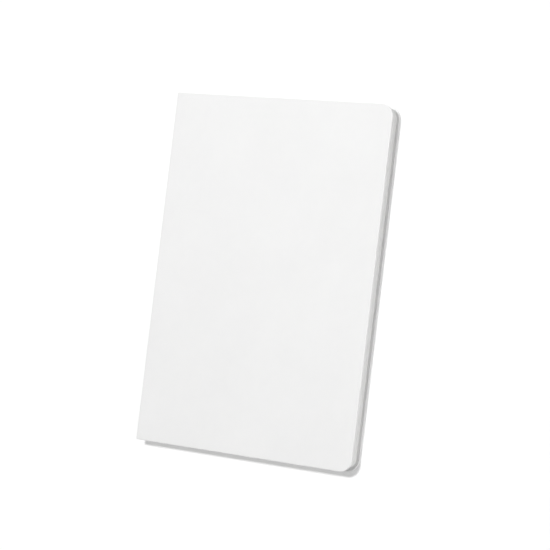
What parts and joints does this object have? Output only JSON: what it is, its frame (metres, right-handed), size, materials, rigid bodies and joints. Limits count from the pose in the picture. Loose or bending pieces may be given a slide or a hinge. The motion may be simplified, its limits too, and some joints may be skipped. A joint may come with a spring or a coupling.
{
  "type": "stone paper notebook",
  "caption": "Closed hard cover notebook of white stone paper with a flat spine, rounded fore-edge corners, and covers that open on hinge lines along the spine.",
  "frame": {"origin": "middle of the back cover's outer face, on which the closed notebook lies", "axes": "+X from the spine to the fore-edge, +Y from the tail to the head, +Z out of the front cover"},
  "size_m": [0.145, 0.21, 0.011],
  "materials": {
    "covering": "matt, faintly grained",
    "endpaper": "matt, smooth",
    "leaves": "matt, cut edges with fine lines",
    "greyboard": "matt, fibrous",
    "lining": "matt, creped"
  },
  "bodies": {
    "pages_and_spine": {"page_block": "leaves", "front_flyleaf": "endpaper", "back_flyleaf": "endpaper", "spine_lining": "lining", "spine_board": "greyboard", "spine_wrap": "covering"},
    "front_cover": {"front_cover_wrap": "covering", "front_board": "greyboard", "front_pastedown": "endpaper"},
    "back_cover": {"back_cover_wrap": "covering", "back_board": "greyboard", "back_pastedown": "endpaper"}
  },
  "joints": [
    {"name": "front_cover_hinge", "type": "hinge", "parent": "pages_and_spine", "child": "front_cover", "pos_m": [-0.0725, 0, 0.00925], "axis": [0, -1, 0], "range_deg": [0, 178]},
    {"name": "back_cover_hinge", "type": "hinge", "parent": "pages_and_spine", "child": "back_cover", "pos_m": [-0.0725, 0, 0.00175], "axis": [0, 1, 0], "range_deg": [0, 178]}
  ]
}
